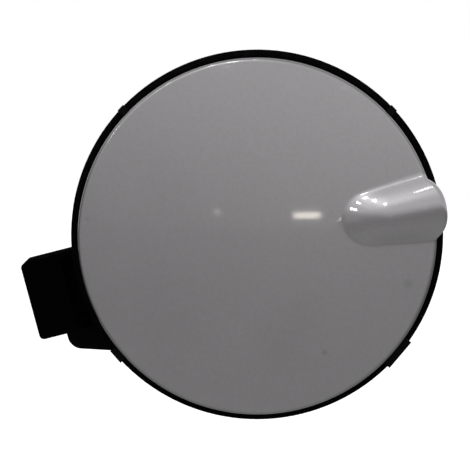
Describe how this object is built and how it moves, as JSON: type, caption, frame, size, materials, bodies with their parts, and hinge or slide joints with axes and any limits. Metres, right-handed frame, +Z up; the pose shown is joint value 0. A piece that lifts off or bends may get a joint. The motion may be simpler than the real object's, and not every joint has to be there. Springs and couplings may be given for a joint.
{
  "type": "car fuel door",
  "caption": "Round crowned fuel door with a drawn-up finger pull, a rubber rim seal and a gooseneck hinge on a moulded side bracket.",
  "frame": {"origin": "middle of the two bracket screw holes, on the bracket's mounting face", "axes": "+X right across the door, +Y from the outside into the car (the screws' direction), +Z up; the hinge axis leans 14.4 degrees from Z towards -X"},
  "size_m": [0.1898, 0.0495, 0.1669],
  "materials": {
    "body_paint": "clear-coated silver-grey paint on moulded plastic",
    "black_plastic": "fine-grained black moulding",
    "block_plastic": "black glass-filled moulding",
    "black_rubber": "matt black rubber",
    "zinc_steel": "zinc-plated steel",
    "spring_steel": "dark spring steel",
    "bush_plastic": "natural acetal"
  },
  "bodies": {
    "bracket": {"hinge_bracket": "block_plastic", "bracket_sleeve_upper": "zinc_steel", "bracket_sleeve_lower": "zinc_steel", "hinge_pin": "zinc_steel", "pin_clip": "spring_steel", "hinge_spring": "spring_steel"},
    "flap": {"skin": "body_paint", "carrier": "black_plastic", "rim_seal": "black_rubber", "hinge_arm": "black_plastic", "arm_screw_upper": "zinc_steel", "arm_screw_lower": "zinc_steel", "arm_screw_inner": "zinc_steel", "upper_bush": "bush_plastic", "lower_bush": "bush_plastic", "striker": "zinc_steel", "striker_screw_upper": "zinc_steel", "striker_screw_lower": "zinc_steel", "buffer_upper": "black_rubber", "buffer_lower": "black_rubber", "buffer_outer": "black_rubber"}
  },
  "joints": [
    {"name": "flap_hinge", "type": "hinge", "parent": "bracket", "child": "flap", "pos_m": [-0.02615, -0.026, -0.00671], "axis": [0.2487, 0, -0.9686], "range_deg": [0, 95], "deforming": ["hinge_spring"]}
  ]
}
